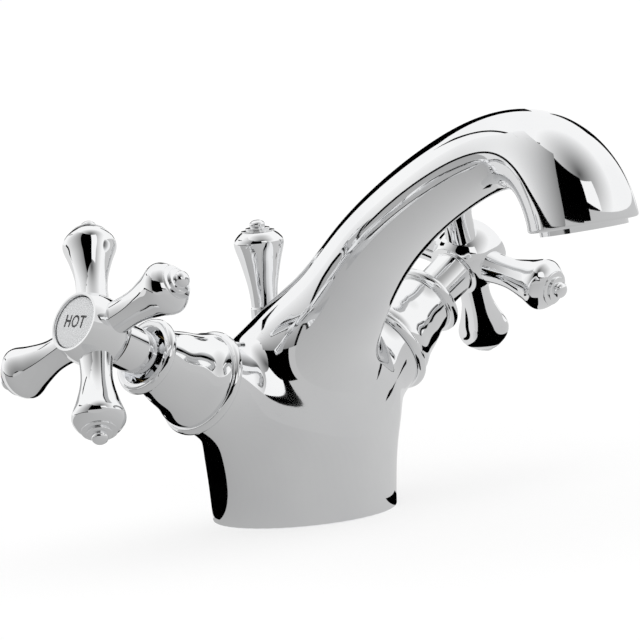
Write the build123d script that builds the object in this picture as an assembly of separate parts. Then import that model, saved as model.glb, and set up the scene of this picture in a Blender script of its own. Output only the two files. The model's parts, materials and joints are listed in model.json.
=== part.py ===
from build123d import *
import math
import os

os.makedirs("parts", exist_ok=True)

# Cross-handle basin mixer with a swan-neck spout and a pop-up lift knob, in millimetres.
# The origin is the centre of the base on the basin deck. +Z is up, the spout points to -Y,
# the hot valve is on the -X side and the cold valve on the +X side.

# Clearances
RUN_CLEAR = 0.05  # radial, between a turning or sliding shaft and its bore
THREAD_CLEAR = 0.05  # radial, between plain cylinders that stand for screw threads
SEAT_CLEAR = 0.1  # radial, between pieces that are dropped into a recess
END_CLEAR = 0.3  # along an axis, between pieces that move past each other

# Base and deck
BASE_R = 25.2
BASE_WALL = 4.9  # from the base's edge to the cavity under it
CAVITY_H = 10.0
GASKET_W = 2.0
GASKET_H = 2.0
DECK_T = 18.0

# Trunk and spout: the middle line in the plane X = 0 and the outside radius at each station.
# The trunk is wider from side to side than that by the swell of the same station.
TRUNK_LOW_SWELL = 0.4
TRUNK_MID_SWELL = 1.6
TRUNK_TOP_SWELL = 4.5
NECK_LOW_SWELL = 2.5
TRUNK_LOW = (-0.4, 11.0, 25.6)
TRUNK_MID = (-1.4, 23.0, 26.0)
TRUNK_TOP = (-4.8, 35.5, 23.3)
NECK_LOW = (-10.8, 46.5, 17.8)
NECK_MID = (-19.5, 56.0, 14.2)
NECK_TOP = (-35.6, 72.0, 11.5)
RISE_LOW = (-51.7, 83.7, 10.5)
RISE_TOP = (-70.0, 93.4, 10.1)
CREST_IN = (-85.0, 98.9, 10.0)
CREST_OUT = (-96.0, 100.2, 10.5)
BEND_TOP = (-105.0, 98.0, 11.9)
BEND_LOW = (-114.0, 89.8, 13.7)
NOZZLE_Y = -117.1
NOZZLE_Z = 81.0
NOZZLE_R = 14.3
NOZZLE_LEAN = 6.5  # degrees that the outlet leans forward of straight down
WATERWAY_R = 5.0
MIX_Y = -6.0  # where the two valve chambers meet the foot of the waterway
MIX_Z = 36.0
MIX_R = 3.5

# Aerator in the nozzle, depths counted up from the nozzle's rim
AERATOR_R = 11.0
AERATOR_LIP_R = 11.4
AERATOR_OUT = 1.3
AERATOR_BORE_R = 9.4
AERATOR_LEDGE_R = 8.6
AERATOR_LEDGE = 1.0
AERATOR_DEPTH = 6.0
WASHER_H = 1.5
WASHER_BORE_R = 7.0
SCREEN_HOLE_R = 0.75
SCREEN_PITCH = 2.3

# Valve arms: distances along each valve's axis start where the two axes meet
VALVE_TILT = 29.0
VALVE_Y = -1.0
VALVE_Z = 22.9
ARM_R = 13.2
ARM_BLEND = 16.0
ARM_FACE = 36.3
CHAMBER_THREAD_R = 10.35
CHAMBER_STEP = 27.5
CHAMBER_R = 9.4
CHAMBER_FLOOR = 12.5
PORT_R = 3.8
PORT_DEPTH = 6.0
INLET_X = 8.5
INLET_Y = -1.0
INLET_R = 4.5
INLET_DEPTH = 12.0
INLET_BORE_R = 3.5

# Valve inside the arm
SEAL_R = 6.9
SEAL_H = 3.7
DISC_R = 6.95
DISC_H = 3.0
MOVING_DISC_R = 6.6
DISC_PORT_R = 1.9
DISC_PORT_OFF = 3.9
TONGUE_W = 3.0
TONGUE_H = 1.2
DRIVER_H = 2.4
BARREL_R = 9.0
BARREL_BORE_R = 7.05
BARREL_LOW = 15.8
WINDOW_W = 8.0
WINDOW_H = 4.5
BONNET_WASHER_H = 1.0
BONNET_WASHER_R = 11.5
FLANGE_R = 11.6
FLANGE_H = 2.5
HEX_FLATS = 17.0
HEX_H = 3.2
SLEEVE_R = 8.15
SLEEVE_TOP = 52.0
NOSE_R = 5.5
NOSE_TOP = 54.0
SPINDLE_R = 4.0
ORING_GROOVE = 1.0
ORING_T = (30.0, 34.0)
CLIP_T = 0.8
CLIP_R = 5.2
CLIP_GROOVE_R = 3.2
SPLINE_SHARE = 0.52  # of the spindle's end outside the bonnet
SPLINE_PAST = 1.0  # how far the splines reach past the middle of the cross
SPLINE_LEAD = 0.5  # plain length of the hub's skirt past the start of the splines
SPLINE_R = 3.8
SPLINE_ROOT_R = 3.45
SPLINE_TEETH = 20

# Shroud over the valve
SHROUD_BACK_BEAD_T = 37.9
SHROUD_BACK_BEAD_R = 14.7
SHROUD_FRONT_BEAD_T = 58.6
SHROUD_FRONT_BEAD_R = 10.6
BEAD_R = 1.5
SHROUD_WALL = 1.3
SHROUD_WAIST = ((13.3, 40.2), (11.8, 44.6), (10.5, 49.6), (9.3, 54.0), (8.95, 57.2))
SHROUD_MOUTH_R = 8.2
SKIRT_GAP = 0.45  # from the handle's skirt to the shroud's throat
SHROUD_LAND_LOW = 46.0

# Cross handle
CROSS_T = 78.0
HUB_BACK = 5.5  # from the middle of the cross to the hub's back and front edges
HUB_FRONT = 7.5
HUB_BACK_R = 8.2
HUB_WAIST_R = 9.7
HUB_FRONT_R = 8.2
SKIRT_R = 6.3
SKIRT_BORE_R = 5.6
SKIRT_END = 57.2
WEB_T = 1.4
SCREW_R = 2.0
SCREW_L = 10.0
SCREW_HEAD_R = 3.8
SCREW_HEAD_H = 2.3
SCREW_SOCKET = 3.0
BUTTON_R = 7.3
BUTTON_T = 1.7
ARM_SEAT = 8.5
ARM_SPIGOT_R = 2.4
ARM_SPIGOT_L = 3.2
ARM_LENGTH = 34.4
ARM_ROOT_R = 4.5
ARM_NARROW_R = 4.3
ARM_NARROW_L = 7.5
ARM_KNOB_R = 7.2
ARM_KNOB_AT = 26.7
HOT_REST_ANGLE = 28.0
COLD_REST_ANGLE = 18.7

# Swelling stem and domed, stepped end of the arms and the lift knob, as shares (out, along):
# from the narrow radius to the widest, then from the widest place to the tip
FLARE = ((0.03, 0.0), (0.4, 0.455), (0.64, 0.67), (0.886, 0.855))
DOME = ((1.0, 0.0), (0.975, 0.14), (0.9, 0.26), (0.79, 0.39), (0.67, 0.485))
STEP_SHARES = (DOME[-1][0], 0.49, 0.31)  # radii of the two steps and the nub

# Lift knob and rod of the pop-up waste
ROD_Y = 8.5
ROD_R = 2.5
ROD_LOW = -46.0
ROD_TOP = 62.0
ROD_END_L = 15.0  # plain end below a groove, for the linkage's clamp
ROD_HOLE_R = 3.2
BUSH_R = 4.5
BUSH_LOW = 42.0
BUSH_TOP = 53.0
KNOB_FOOT_R = 3.95
KNOB_NARROW_L = 7.5
KNOB_R = 6.85
KNOB_GIRDLE_Z = 74.6
KNOB_TOP = 80.8
KNOB_POCKET_R = 4.8

# Fixing kit under the deck
STUD_Y = -12.5
STUD_R = 3.95
STUD_DEPTH = 12.0
STUD_LOW = -48.0
CLAMP_INSET = 1.4  # the clamp is this much smaller in radius than the base
CLAMP_CORNER_R = 6.0
CLAMP_SLOT_W = 30.0
CLAMP_SLOT_Y = -6.5
CLAMP_PAD_T = 3.0
CLAMP_PLATE_T = 3.0
NUT_FLATS = 13.0
NUT_H = 6.5


def turned(*runs):
    """Solid turned about Z from runs of (radius, height) points.

    Two points make a line and more make a smooth curve. Runs that don't meet are joined by lines.
    """
    edges = []
    first = last = None
    for run in runs:
        points = [Vector(r, 0, h) for r, h in run]
        if last is not None and (points[0] - last).length > 1e-6:
            edges.append(Line(last, points[0]))
        edges.append(Line(*points) if len(points) == 2 else Spline(*points))
        first = first or points[0]
        last = points[-1]
    if (first - last).length > 1e-6:
        edges.append(Line(last, first))
    return revolve(make_face(edges), Axis.Z)


def drum(radius, low, high, bore=0.0):
    """Plain cylinder or tube along Z between two heights."""
    outer = Pos(0, 0, low) * extrude(Circle(radius), high - low)
    if bore:
        outer -= Pos(0, 0, low) * extrude(Circle(bore), high - low)
    return outer


def hexagon(flats, low, high):
    """Hexagonal prism along Z between two heights."""
    radius = flats / math.sqrt(3)
    return Pos(0, 0, low) * extrude(RegularPolygon(radius, 6), high - low)


def spline_bar(clear, low, high):
    """Toothed bar along Z, grown by a clearance for its socket."""
    step = math.pi / SPLINE_TEETH
    radii = (SPLINE_R + clear, SPLINE_ROOT_R + clear)
    points = [
        (radii[k % 2] * math.cos(k * step), radii[k % 2] * math.sin(k * step))
        for k in range(2 * SPLINE_TEETH)
    ]
    return Pos(0, 0, low) * extrude(make_face(Polyline(*points, close=True)), high - low)


def valve_frame(side):
    """Frame of a valve: Z along its axis, X to the front, origin where the two axes meet."""
    tilt = math.radians(VALVE_TILT)
    axis = (side * math.cos(tilt), 0, math.sin(tilt))
    return Plane(origin=(0, VALVE_Y, VALVE_Z), x_dir=(0, -1, 0), z_dir=axis).location


def nozzle_frame():
    """Frame of the nozzle: Z up the bore from the rim's centre."""
    lean = math.radians(NOZZLE_LEAN)
    up = (0, math.sin(lean), math.cos(lean))
    return Plane(origin=(0, NOZZLE_Y, NOZZLE_Z), x_dir=(1, 0, 0), z_dir=up).location


HOT = -1
COLD = 1
CAVITY_R = BASE_R - BASE_WALL
GASKET_R = CAVITY_R + GASKET_W
CLAMP_R = BASE_R - CLAMP_INSET
HUB_BACK_T = CROSS_T - HUB_BACK
HUB_FRONT_T = CROSS_T + HUB_FRONT
SPLINE_TOP = CROSS_T + SPLINE_PAST
SHROUD_THROAT_R = SKIRT_R + SKIRT_GAP
SPLINE_LOW = SPLINE_TOP - SPLINE_SHARE * (SPLINE_TOP - NOSE_TOP)
SKIRT_FLOOR = SPLINE_LOW + SPLINE_LEAD
STATIONS = (
    (0.0, 0.0, BASE_R),
    TRUNK_LOW,
    TRUNK_MID,
    TRUNK_TOP,
    NECK_LOW,
    NECK_MID,
    NECK_TOP,
    RISE_LOW,
    RISE_TOP,
    CREST_IN,
    CREST_OUT,
    BEND_TOP,
    BEND_LOW,
    (NOZZLE_Y, NOZZLE_Z, NOZZLE_R),
)
WATERWAY_FROM = STATIONS.index(NECK_LOW)  # the station where the spout's waterway starts
SWELLS = (0.0, TRUNK_LOW_SWELL, TRUNK_MID_SWELL, TRUNK_TOP_SWELL, NECK_LOW_SWELL)
OUTLET_DIR = Vector(
    0, -math.sin(math.radians(NOZZLE_LEAN)), -math.cos(math.radians(NOZZLE_LEAN))
)
SEAL_TOP = CHAMBER_FLOOR + SEAL_H
FIXED_TOP = SEAL_TOP + DISC_H
MOVING_TOP = FIXED_TOP + DISC_H
DRIVER_TOP = MOVING_TOP + DRIVER_H
BARREL_ROOF = DRIVER_TOP + END_CLEAR
FLANGE_LOW = ARM_FACE + BONNET_WASHER_H
FLANGE_TOP = FLANGE_LOW + FLANGE_H
HEX_TOP = FLANGE_TOP + HEX_H
WEB_LOW = SPLINE_TOP + SEAT_CLEAR
WEB_TOP = WEB_LOW + WEB_T
BUTTON_LOW = HUB_FRONT_T - 0.4 - BUTTON_T
PAD_TOP = -DECK_T
PLATE_TOP = PAD_TOP - CLAMP_PAD_T
NUT_TOP = PLATE_TOP - CLAMP_PLATE_T


def spine_loft(first, radii, swells=(), foot=()):
    """Loft of rounds along the middle line, from a level foot or a station to the nozzle."""
    spine = Spline(*[(0, y, z) for y, z, r in STATIONS], tangents=[(0, 0, 1), OUTLET_DIR])
    sections = []
    for y, z in foot:
        level = Plane(origin=(0, y, z), x_dir=(0, 1, 0), z_dir=(0, 0, 1))
        sections.append(level * Circle(radii[first]))
    for k in range(first, len(STATIONS)):
        y, z, r = STATIONS[k]
        if k == 0:
            along = Vector(0, 0, 1)
        elif k == len(STATIONS) - 1:
            along = OUTLET_DIR
        else:
            along = spine.tangent_at(spine.param_at_point(Vector(0, y, z)))
        across = along.cross(Vector(1, 0, 0))
        swell = swells[k] if k < len(swells) else 0.0
        disc = Ellipse(radii[k], radii[k] + swell) if swell else Circle(radii[k])
        sections.append(Plane(origin=(0, y, z), x_dir=across, z_dir=along) * disc)
    return loft(sections)


def body_skin():
    """Outside of the body: one loft for trunk and spout, two valve arms, blended together."""
    skin = spine_loft(0, [r for y, z, r in STATIONS], SWELLS)
    for side in (HOT, COLD):
        skin += valve_frame(side) * drum(ARM_R, 0, ARM_FACE)
    roots = [
        e
        for e in skin.edges()
        if e.geom_type == GeomType.BSPLINE
        and abs(e.center().X) > ARM_R / 2
        and e.bounding_box().size.Z > ARM_R
    ]
    return fillet(roots, ARM_BLEND)


def body_casting():
    """Body with its valve chambers, waterways, nozzle bore and base."""
    body = body_skin()
    for side in (HOT, COLD):
        chamber = drum(CHAMBER_THREAD_R, CHAMBER_STEP, ARM_FACE)
        chamber += drum(CHAMBER_R, CHAMBER_FLOOR, CHAMBER_STEP)
        chamber += drum(PORT_R, PORT_DEPTH, CHAMBER_FLOOR)
        body -= valve_frame(side) * chamber
        inlet = Pos(side * INLET_X, INLET_Y, 0)
        port_z = VALVE_Z + INLET_X * math.tan(math.radians(VALVE_TILT))
        body -= inlet * drum(INLET_R, CAVITY_H, CAVITY_H + INLET_DEPTH)
        body -= inlet * drum(INLET_BORE_R, CAVITY_H, port_z)
    cross = Plane(origin=(-CHAMBER_FLOOR, MIX_Y, MIX_Z), z_dir=(1, 0, 0))
    body -= cross.location * drum(MIX_R, 0, 2 * CHAMBER_FLOOR)
    foot = [(MIX_Y, MIX_Z - MIX_R - 1.0), (MIX_Y, MIX_Z)]
    body -= spine_loft(WATERWAY_FROM, [WATERWAY_R] * len(STATIONS), foot=foot)
    bore = drum(AERATOR_R + THREAD_CLEAR, -1.0, AERATOR_DEPTH + WASHER_H)
    body -= nozzle_frame() * bore
    body -= drum(CAVITY_R, 0, CAVITY_H)
    body -= drum(GASKET_R, 0, GASKET_H)
    body -= Pos(0, STUD_Y, 0) * drum(STUD_R + THREAD_CLEAR, 0, CAVITY_H + STUD_DEPTH)
    rod_hole = drum(ROD_HOLE_R, 0, BUSH_TOP) + drum(BUSH_R, BUSH_LOW, BUSH_TOP)
    rod_hole += drum(KNOB_POCKET_R, BUSH_TOP, KNOB_GIRDLE_Z)
    return body - Pos(0, ROD_Y, 0) * rod_hole


def shroud():
    """Bell-shaped cover with a bead at each end, screwed on to the bonnet's sleeve."""
    back_r = SHROUD_BACK_BEAD_R - BEAD_R
    front_r = SHROUD_FRONT_BEAD_R - BEAD_R
    waist_in = [(r - SHROUD_WALL, t) for r, t in SHROUD_WAIST]
    lip = SHROUD_FRONT_BEAD_T + BEAD_R
    land_top = SLEEVE_TOP + SEAT_CLEAR
    bell = turned(
        [(waist_in[0][0], ARM_FACE), (back_r, ARM_FACE)],
        SHROUD_WAIST,
        [(SHROUD_WAIST[-1][0], SHROUD_FRONT_BEAD_T), (front_r, SHROUD_FRONT_BEAD_T)],
        [(front_r, lip), (SHROUD_MOUTH_R, lip)],
        [(SHROUD_THROAT_R, SHROUD_WAIST[-1][1]), (SHROUD_THROAT_R, land_top)],
        [(SLEEVE_R + THREAD_CLEAR, land_top), (SLEEVE_R + THREAD_CLEAR, SHROUD_LAND_LOW)],
        waist_in[1::-1],
    )
    for radius, at in ((back_r, SHROUD_BACK_BEAD_T), (front_r, SHROUD_FRONT_BEAD_T)):
        bell += Pos(0, 0, at) * Torus(radius, BEAD_R)
    bell -= drum(waist_in[0][0], ARM_FACE - BEAD_R, ARM_FACE + BEAD_R)
    return bell - drum(SHROUD_BACK_BEAD_R, ARM_FACE - BEAD_R, ARM_FACE)


def valve_bonnet():
    """Brass bonnet: barrel round the discs, thread, flange, hexagon, sleeve and nose."""
    bonnet = drum(BARREL_R, BARREL_LOW, CHAMBER_STEP + END_CLEAR)
    bonnet += drum(CHAMBER_THREAD_R - THREAD_CLEAR, CHAMBER_STEP + END_CLEAR, FLANGE_LOW)
    bonnet += drum(FLANGE_R, FLANGE_LOW, FLANGE_TOP)
    bonnet += hexagon(HEX_FLATS, FLANGE_TOP, HEX_TOP)
    bonnet += drum(SLEEVE_R, HEX_TOP, SLEEVE_TOP)
    bonnet += drum(NOSE_R, SLEEVE_TOP, NOSE_TOP)
    bonnet -= drum(BARREL_BORE_R, BARREL_LOW, BARREL_ROOF)
    bonnet -= drum(SPINDLE_R + RUN_CLEAR, BARREL_ROOF, NOSE_TOP)
    window = Box(WINDOW_W, 2 * BARREL_R + 2, WINDOW_H)
    return bonnet - Pos(0, 0, FIXED_TOP + WINDOW_H / 2) * window


def fixed_disc():
    """Lower ceramic disc with two ports, keyed in the barrel."""
    disc = drum(DISC_R, SEAL_TOP, FIXED_TOP)
    for k in (-1, 1):
        disc -= Pos(k * DISC_PORT_OFF, 0, 0) * drum(DISC_PORT_R, SEAL_TOP, FIXED_TOP)
    return disc


def moving_disc(angle):
    """Upper ceramic disc with two notches and a slot for the spindle's tongue, shut at rest."""
    disc = drum(MOVING_DISC_R, FIXED_TOP, MOVING_TOP)
    for k in (-1, 1):
        disc -= Pos(0, k * MOVING_DISC_R, 0) * drum(DISC_PORT_R, FIXED_TOP, MOVING_TOP)
    slot_h = TONGUE_H + SEAT_CLEAR
    slot = Box(2 * MOVING_DISC_R + 2, TONGUE_W + 2 * SEAT_CLEAR, slot_h)
    return disc - Pos(0, 0, MOVING_TOP - slot_h / 2) * slot


def spindle(angle):
    """Spindle with its driver, tongue, ring grooves, clip groove, splines and screw hole."""
    half = ORING_GROOVE / 2
    clip_low = NOSE_TOP + END_CLEAR
    cuts = [(t - half, t + half, SPINDLE_R - ORING_GROOVE) for t in ORING_T]
    cuts.append((clip_low, clip_low + CLIP_T, CLIP_GROOVE_R))
    shaft = [[(SPINDLE_R, DRIVER_TOP), (SPINDLE_R, cuts[0][0])]]
    for k, (low, high, floor) in enumerate(cuts):
        shaft.append([(floor, low), (floor, high)])
        end = cuts[k + 1][0] if k + 1 < len(cuts) else SPLINE_LOW
        shaft.append([(SPINDLE_R, high), (SPINDLE_R, end)])
    bar = turned(
        [(0, MOVING_TOP), (MOVING_DISC_R, MOVING_TOP)],
        [(MOVING_DISC_R, DRIVER_TOP), (SPINDLE_R, DRIVER_TOP)],
        *shaft,
        [(SPINDLE_R, SPLINE_LOW), (0, SPLINE_LOW)],
    )
    bar += Pos(0, 0, MOVING_TOP - TONGUE_H / 2) * Box(MOVING_DISC_R + 3, TONGUE_W, TONGUE_H)
    bar += Rot(0, 0, angle) * spline_bar(0.0, SPLINE_LOW, SPLINE_TOP)
    return bar - drum(SCREW_R + THREAD_CLEAR, SPLINE_LOW, SPLINE_TOP)


def spindle_orings():
    """Two rubber rings squeezed into the spindle's grooves, flush with the shaft."""
    rings = []
    for t in ORING_T:
        half = 0.45 * ORING_GROOVE
        ring = drum(SPINDLE_R, t - half, t + half, SPINDLE_R - ORING_GROOVE)
        rings.append(fillet(ring.edges(), ORING_GROOVE / 4))
    return rings


def spindle_clip():
    """Open spring clip in the spindle's groove, over the bonnet's nose."""
    clip_low = NOSE_TOP + END_CLEAR
    ring = drum(CLIP_R, clip_low, clip_low + CLIP_T, CLIP_GROOVE_R)
    return ring - Pos(CLIP_R, 0, clip_low) * Box(2 * CLIP_R, SPINDLE_R, 4 * CLIP_T)


def arm_place(angle, k):
    """Place of arm k: its own axis out from the cross's centre."""
    return Rot(0, 0, angle + 90 * k) * Pos(0, 0, CROSS_T) * Rot(0, 90, 0)


def handle_hub(angle):
    """Hub with its skirt, splined socket, screw seat, button recess and four arm seats."""
    swell = [(HUB_BACK_R, HUB_BACK_T), (HUB_WAIST_R, CROSS_T + 0.5), (HUB_FRONT_R, HUB_FRONT_T)]
    hub = turned(
        [(0, SKIRT_END), (SKIRT_R, SKIRT_END)],
        [(SKIRT_R, HUB_BACK_T - 1.0), (HUB_BACK_R - 0.4, HUB_BACK_T - 0.6)],
        swell,
        [(HUB_FRONT_R, HUB_FRONT_T), (0, HUB_FRONT_T)],
    )
    hub -= drum(SKIRT_BORE_R, SKIRT_END, SKIRT_FLOOR)
    hub -= Rot(0, 0, angle) * spline_bar(THREAD_CLEAR, SKIRT_FLOOR, WEB_LOW)
    hub -= drum(SCREW_R + SEAT_CLEAR, WEB_LOW, WEB_TOP)
    hub -= drum(SCREW_HEAD_R + SEAT_CLEAR, WEB_TOP, BUTTON_LOW)
    hub -= drum(BUTTON_R + SEAT_CLEAR, BUTTON_LOW, HUB_FRONT_T)
    seat = drum(ARM_ROOT_R + SEAT_CLEAR, ARM_SEAT, ARM_LENGTH)
    seat += drum(ARM_SPIGOT_R + THREAD_CLEAR, ARM_SEAT - ARM_SPIGOT_L, ARM_SEAT)
    for k in range(4):
        hub -= arm_place(angle, k) * seat
    return hub


def swell(narrow_r, narrow_at, knob_r, girdle, tip):
    """Points of a stem that swells to its widest place and rounds over into a dome."""
    grow, run, rise = knob_r - narrow_r, girdle - narrow_at, tip - girdle
    stem = [(narrow_r + out * grow, narrow_at + along * run) for out, along in FLARE]
    return stem + [(out * knob_r, girdle + along * rise) for out, along in DOME]


def finial(knob_r, girdle, tip):
    """Runs of the two low steps and the nub at the end of the arms and the lift knob."""
    rise = tip - girdle
    step, ring, nub = (share * knob_r for share in STEP_SHARES)
    return [
        [(step, girdle + 0.545 * rise), (ring, girdle + 0.57 * rise)],
        [(ring, girdle + 0.66 * rise), (nub, girdle + 0.69 * rise)],
        [(nub, girdle + 0.8 * rise), (nub * 0.72, girdle + 0.94 * rise), (0, tip)],
    ]


def handle_arm():
    """Turned arm, its axis along Z, with a spigot that screws into the hub."""
    return turned(
        [(0, ARM_SEAT - ARM_SPIGOT_L), (ARM_SPIGOT_R, ARM_SEAT - ARM_SPIGOT_L)],
        [(ARM_SPIGOT_R, ARM_SEAT), (ARM_ROOT_R, ARM_SEAT)],
        [
            (ARM_ROOT_R, ARM_SEAT),
            (ARM_NARROW_R, ARM_SEAT + ARM_NARROW_L / 3),
            *swell(ARM_NARROW_R, ARM_SEAT + ARM_NARROW_L, ARM_KNOB_R, ARM_KNOB_AT, ARM_LENGTH),
        ],
        *finial(ARM_KNOB_R, ARM_KNOB_AT, ARM_LENGTH),
    )


def handle_screw():
    """Socket screw that holds the hub on the spindle."""
    screw = drum(SCREW_R, WEB_TOP - SCREW_L, WEB_TOP)
    screw += drum(SCREW_HEAD_R, WEB_TOP, WEB_TOP + SCREW_HEAD_H)
    return screw - hexagon(SCREW_SOCKET, WEB_TOP + 0.8, WEB_TOP + SCREW_HEAD_H)


def index_button():
    """Enamelled disc in the hub's front, a little crowned."""
    top = BUTTON_LOW + BUTTON_T
    return turned(
        [(0, BUTTON_LOW), (BUTTON_R, BUTTON_LOW)],
        [(BUTTON_R, top - 0.2), (BUTTON_R * 0.5, top - 0.05), (0, top)],
    )


def aerator_housing():
    """Screwed ring in the nozzle with a ledge for the insert and two key notches."""
    ring = drum(AERATOR_R, 0, AERATOR_DEPTH, AERATOR_BORE_R)
    ring += drum(AERATOR_LIP_R, -AERATOR_OUT, 0, AERATOR_BORE_R)
    ring += drum(AERATOR_BORE_R, -AERATOR_OUT, AERATOR_LEDGE, AERATOR_LEDGE_R)
    notch = Box(2 * AERATOR_R, 2.4, 1.4)
    return ring - Pos(0, 0, -AERATOR_OUT) * notch


def aerator_insert():
    """Plastic flow straightener with a field of small holes."""
    insert = drum(AERATOR_BORE_R, AERATOR_LEDGE, AERATOR_DEPTH)
    insert -= drum(AERATOR_LEDGE_R - 1.0, AERATOR_LEDGE + 3.0, AERATOR_DEPTH)
    reach = AERATOR_LEDGE_R - 1.0 - 2 * SCREEN_HOLE_R
    count = int(reach // SCREEN_PITCH) + 1
    places = []
    for row in range(-count, count + 1):
        for k in range(-count, count + 1):
            x = SCREEN_PITCH * (k + 0.5 * (row % 2))
            y = SCREEN_PITCH * row * math.sqrt(3) / 2
            if math.hypot(x, y) < reach:
                places.append((x, y))
    holes = Locations(*places).local_locations
    field = Sketch() + [place * Circle(SCREEN_HOLE_R) for place in holes]
    return insert - Pos(0, 0, AERATOR_LEDGE) * extrude(field, 3.0)


def lift_knob():
    """Turned knob on top of the rod."""
    foot = BUSH_TOP
    knob = turned(
        [(0, foot), (KNOB_FOOT_R - 0.4, foot)],
        [(KNOB_FOOT_R, foot + 0.6), (KNOB_FOOT_R, foot + 3.6)],
        [
            (KNOB_FOOT_R - 0.3, foot + 4.0),
            *swell(KNOB_FOOT_R - 0.2, foot + KNOB_NARROW_L, KNOB_R, KNOB_GIRDLE_Z, KNOB_TOP),
        ],
        *finial(KNOB_R, KNOB_GIRDLE_Z, KNOB_TOP),
    )
    return Pos(0, ROD_Y, 0) * (knob - drum(ROD_R, foot, ROD_TOP))


def horseshoe(low, high):
    """Horseshoe plate round the tails, open to the back, with a hole for the stud."""
    slot_l = 2 * CLAMP_R
    slot = Pos(0, CLAMP_SLOT_Y + slot_l / 2) * RectangleRounded(CLAMP_SLOT_W, slot_l, CLAMP_CORNER_R)
    plate = Circle(CLAMP_R) - slot - Pos(0, STUD_Y) * Circle(STUD_R + 2 * SEAT_CLEAR)
    return Pos(0, 0, low) * extrude(plate, high - low)


def clamp_nut():
    """Hexagon nut under the clamp plate."""
    nut = hexagon(NUT_FLATS, NUT_TOP - NUT_H, NUT_TOP)
    nut -= drum(STUD_R + THREAD_CLEAR, NUT_TOP - NUT_H, NUT_TOP)
    return Pos(0, STUD_Y, 0) * nut


def save(name, shape):
    """Write one node, as a group if it has several solids."""
    solids = shape if isinstance(shape, list) else shape.solids()
    whole = solids[0] if len(solids) == 1 else Compound(children=list(solids))
    export_step(whole, f"parts/{name}.step")


save("body_casting", body_casting())
save("base_gasket", drum(GASKET_R - SEAT_CLEAR, 0, GASKET_H, CAVITY_R + SEAT_CLEAR))
save("fixing_stud", Pos(0, STUD_Y, 0) * drum(STUD_R, STUD_LOW, CAVITY_H + STUD_DEPTH))
save("clamp_pad", horseshoe(PLATE_TOP, PAD_TOP))
save("clamp_plate", horseshoe(NUT_TOP, PLATE_TOP))
save("clamp_nut", clamp_nut())
rod = drum(ROD_R, ROD_LOW, ROD_TOP)
rod -= drum(ROD_R + 1, ROD_LOW + ROD_END_L, ROD_LOW + ROD_END_L + 1.0, ROD_R - 0.3)
save("lift_rod", Pos(0, ROD_Y, 0) * rod)
save("rod_bush", Pos(0, ROD_Y, 0) * drum(BUSH_R, BUSH_LOW, BUSH_TOP, ROD_R + RUN_CLEAR))
save("lift_knob", lift_knob())
save("aerator_housing", nozzle_frame() * aerator_housing())
save("aerator_insert", nozzle_frame() * aerator_insert())
washer_top = AERATOR_DEPTH + WASHER_H
washer = drum(AERATOR_R, AERATOR_DEPTH, washer_top, WASHER_BORE_R)
save("aerator_washer", nozzle_frame() * washer)

for label, side, angle in (("hot", HOT, HOT_REST_ANGLE), ("cold", COLD, COLD_REST_ANGLE)):
    frame = valve_frame(side)
    seat_seal = drum(SEAL_R, CHAMBER_FLOOR, SEAL_TOP, PORT_R)
    bonnet_washer = drum(
        BONNET_WASHER_R, ARM_FACE, FLANGE_LOW, CHAMBER_THREAD_R + THREAD_CLEAR
    )
    save(f"{label}_shroud", frame * shroud())
    save(f"{label}_bonnet", frame * valve_bonnet())
    save(f"{label}_bonnet_washer", frame * bonnet_washer)
    save(f"{label}_seat_seal", frame * seat_seal)
    save(f"{label}_fixed_disc", frame * fixed_disc())
    save(f"{label}_moving_disc", frame * moving_disc(angle))
    save(f"{label}_spindle", frame * spindle(angle))
    save(f"{label}_spindle_orings", [frame * ring for ring in spindle_orings()])
    save(f"{label}_spindle_clip", frame * spindle_clip())
    save(f"{label}_hub", frame * handle_hub(angle))
    for k in range(4):
        save(f"{label}_arm_{k + 1}", frame * arm_place(angle, k) * handle_arm())
    save(f"{label}_screw", frame * handle_screw())
    save(f"{label}_index_button", frame * index_button())
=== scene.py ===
"""Looks of the basin mixer: bright chrome body, shrouds, cross handles and lift knob, in a small
white studio."""
import json
import math

import bmesh
import bpy
import numpy as np
from mathutils import Matrix, Vector


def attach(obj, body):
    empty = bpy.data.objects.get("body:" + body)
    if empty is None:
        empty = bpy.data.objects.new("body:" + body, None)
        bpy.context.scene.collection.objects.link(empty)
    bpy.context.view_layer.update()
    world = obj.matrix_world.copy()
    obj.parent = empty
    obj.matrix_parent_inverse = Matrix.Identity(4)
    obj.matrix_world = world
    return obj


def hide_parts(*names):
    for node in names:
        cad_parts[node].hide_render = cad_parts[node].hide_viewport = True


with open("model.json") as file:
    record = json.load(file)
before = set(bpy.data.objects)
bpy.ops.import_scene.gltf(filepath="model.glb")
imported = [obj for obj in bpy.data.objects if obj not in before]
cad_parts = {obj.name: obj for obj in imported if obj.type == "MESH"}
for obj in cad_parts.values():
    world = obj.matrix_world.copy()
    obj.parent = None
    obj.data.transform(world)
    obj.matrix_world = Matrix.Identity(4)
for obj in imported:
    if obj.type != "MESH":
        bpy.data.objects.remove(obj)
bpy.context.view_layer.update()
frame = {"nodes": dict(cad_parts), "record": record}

MM = 0.001

# All sizes are millimetres in the frame of the solids: origin at the middle of the base on the
# deck, Z up, spout towards -Y, hot valve towards -X.

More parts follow.
